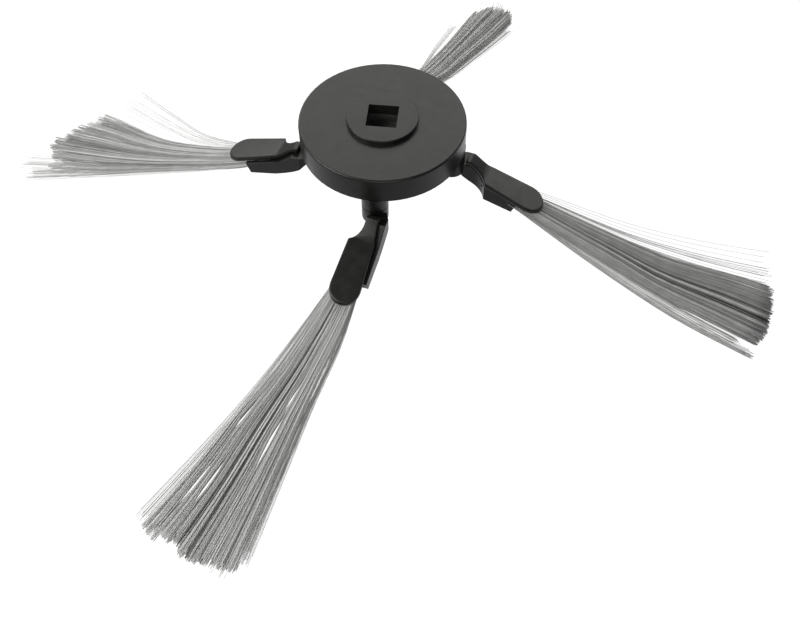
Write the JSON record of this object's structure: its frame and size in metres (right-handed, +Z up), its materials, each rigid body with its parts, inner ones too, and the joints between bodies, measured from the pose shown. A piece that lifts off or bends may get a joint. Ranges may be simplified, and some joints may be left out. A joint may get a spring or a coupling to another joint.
{
  "type": "rotary side brush of a robotic floor cleaner",
  "caption": "Round drive hub with a square socket and hinged, sprung arms that hold drooping nylon bristle tufts, for sweeping debris under a robotic floor cleaner.",
  "frame": {"origin": "on the hub's axis at the height of the bristle tips, on which the brush stands", "axes": "+Z up the drive axis and out of the square socket's mouth; +X towards the pivot of arm 1, and +Y towards the pivot of arm 2, square to the socket's sides"},
  "size_m": [0.2711, 0.2716, 0.056],
  "materials": {
    "black_plastic": "moulded black plastic, satin with a soft sheen",
    "socket_plastic": "matt black glass-filled plastic",
    "grey_nylon": "translucent grey nylon filament",
    "steel": "bright zinc-plated steel"
  },
  "bodies": {
    "hub": {"hub_cover": "black_plastic", "hub_base": "black_plastic", "drive_socket": "socket_plastic", "cover_screw_1": "steel", "cover_screw_2": "steel", "cover_screw_3": "steel", "cover_screw_4": "steel", "pivot_pin_1": "steel", "pivot_pin_2": "steel", "pivot_pin_3": "steel", "pivot_pin_4": "steel", "pin_washer_1": "steel", "pin_washer_2": "steel", "pin_washer_3": "steel", "pin_washer_4": "steel", "return_spring_1": "steel", "return_spring_2": "steel", "return_spring_3": "steel", "return_spring_4": "steel"},
    "arm_1": {"arm_1": "black_plastic", "clamp_plate_1": "black_plastic", "tuft_staple_1": "steel", "tuft_1": "grey_nylon"},
    "arm_2": {"arm_2": "black_plastic", "clamp_plate_2": "black_plastic", "tuft_staple_2": "steel", "tuft_2": "grey_nylon"},
    "arm_3": {"arm_3": "black_plastic", "clamp_plate_3": "black_plastic", "tuft_staple_3": "steel", "tuft_3": "grey_nylon"},
    "arm_4": {"arm_4": "black_plastic", "clamp_plate_4": "black_plastic", "tuft_staple_4": "steel", "tuft_4": "grey_nylon"}
  },
  "joints": [
    {"name": "arm_1_pivot", "type": "hinge", "parent": "hub", "child": "arm_1", "pos_m": [0.0229, 0, 0.0404], "axis": [0, 0, 1], "range_deg": [-45, 0], "stiffness_Nm_per_rad": 0.01, "springref_deg": 17.19},
    {"name": "arm_2_pivot", "type": "hinge", "parent": "hub", "child": "arm_2", "pos_m": [0, 0.0229, 0.0404], "axis": [0, 0, 1], "range_deg": [-45, 0], "stiffness_Nm_per_rad": 0.01, "springref_deg": 17.19},
    {"name": "arm_3_pivot", "type": "hinge", "parent": "hub", "child": "arm_3", "pos_m": [-0.0229, 0, 0.0404], "axis": [0, 0, 1], "range_deg": [-45, 0], "stiffness_Nm_per_rad": 0.01, "springref_deg": 17.19},
    {"name": "arm_4_pivot", "type": "hinge", "parent": "hub", "child": "arm_4", "pos_m": [0, -0.0229, 0.0404], "axis": [0, 0, 1], "range_deg": [-45, 0], "stiffness_Nm_per_rad": 0.01, "springref_deg": 17.19}
  ]
}
